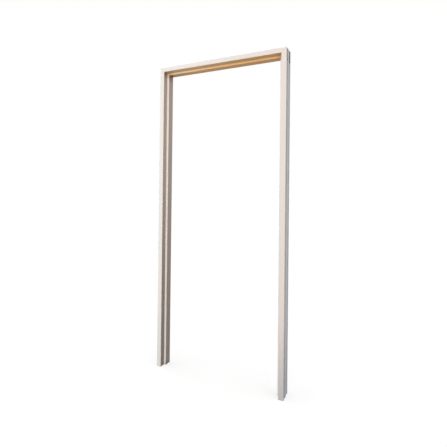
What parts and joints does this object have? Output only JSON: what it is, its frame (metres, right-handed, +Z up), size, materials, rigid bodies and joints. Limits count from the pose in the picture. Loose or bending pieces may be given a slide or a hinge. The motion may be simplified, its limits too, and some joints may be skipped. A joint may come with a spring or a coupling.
{
  "type": "upvc door frame",
  "caption": "White uPVC door frame of hollow extrusions: jambs and head mitred at the top corners, with a leaf rebate and door stop, open at the floor.",
  "frame": {"origin": "on the floor, half way between the jambs and half way through the wall", "axes": "+X across the doorway to the right seen from the front, +Y through the wall from the front face to the back face, +Z up"},
  "size_m": [0.8, 0.11, 2],
  "materials": {
    "white_upvc": "smooth satin extrusion",
    "galvanised_steel": "galvanised, dull",
    "bracket_steel": "dark zinc, dull",
    "screw_steel": "zinc plated"
  },
  "bodies": {
    "root": {"left_jamb": "white_upvc", "head": "white_upvc", "right_jamb": "white_upvc", "left_jamb_reinforcement": "galvanised_steel", "head_reinforcement": "galvanised_steel", "right_jamb_reinforcement": "galvanised_steel", "left_front_bracket": "bracket_steel", "left_rear_bracket": "bracket_steel", "right_front_bracket": "bracket_steel", "right_rear_bracket": "bracket_steel", "bracket_screws": "screw_steel", "reinforcement_screws": "screw_steel"}
  },
  "joints": []
}
